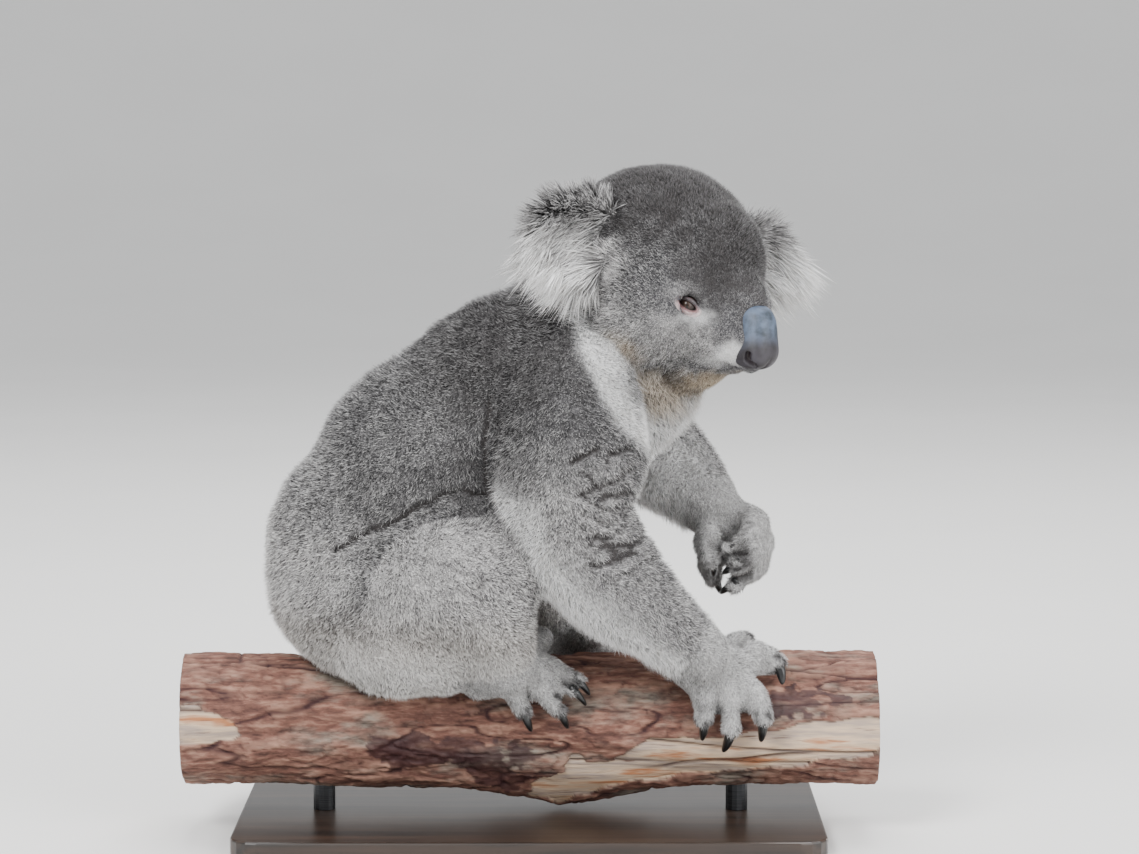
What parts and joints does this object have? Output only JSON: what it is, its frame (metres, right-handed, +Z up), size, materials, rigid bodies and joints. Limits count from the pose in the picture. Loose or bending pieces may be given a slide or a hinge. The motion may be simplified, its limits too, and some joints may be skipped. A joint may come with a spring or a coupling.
{
  "type": "koala",
  "caption": "Still life-size model of a koala sitting on a cut length of branch, one hand on the branch and the other closed in a grip, on a flat display stand.",
  "frame": {"origin": "centre of the underside of the stand's base", "axes": "+X along the branch, the way the koala's body faces; +Y to the koala's left; +Z up"},
  "size_m": [0.5, 0.2527, 0.4819],
  "materials": {
    "grey_fur": "dense woolly grey fur, salt-and-pepper",
    "pale_fur": "short cream-white fur of chin and chest",
    "nose_leather": "bare slate-grey nose skin, finely pebbled",
    "eye": "wet brown eye",
    "claw_horn": "near-black polished horn",
    "bark": "weathered gum branch, partly stripped of its bark",
    "stand_board": "dark stained board, satin",
    "stand_steel": "blackened steel rod"
  },
  "bodies": {
    "root": {"head": "grey_fur", "neck": "grey_fur", "trunk": "grey_fur", "ear_right": "grey_fur", "ear_left": "grey_fur", "upper_arm_right": "grey_fur", "upper_arm_left": "grey_fur", "forearm_right": "grey_fur", "forearm_left": "grey_fur", "hand_right": "grey_fur", "hand_left": "grey_fur", "thigh_right": "grey_fur", "thigh_left": "grey_fur", "shank_right": "grey_fur", "shank_left": "grey_fur", "foot_right": "grey_fur", "foot_left": "grey_fur", "jaw": "pale_fur", "nose": "nose_leather", "eye_right": "eye", "eye_left": "eye", "hand_right_claw_1": "claw_horn", "hand_right_claw_2": "claw_horn", "hand_right_claw_3": "claw_horn", "hand_right_claw_4": "claw_horn", "hand_right_claw_5": "claw_horn", "hand_left_claw_1": "claw_horn", "hand_left_claw_2": "claw_horn", "hand_left_claw_3": "claw_horn", "hand_left_claw_4": "claw_horn", "hand_left_claw_5": "claw_horn", "foot_right_claw_2": "claw_horn", "foot_right_claw_3": "claw_horn", "foot_right_claw_4": "claw_horn", "foot_right_claw_5": "claw_horn", "foot_left_claw_2": "claw_horn", "foot_left_claw_3": "claw_horn", "foot_left_claw_4": "claw_horn", "foot_left_claw_5": "claw_horn", "perch_log": "bark", "stand_base": "stand_board", "stand_rod_back": "stand_steel", "stand_rod_front": "stand_steel"}
  },
  "joints": []
}
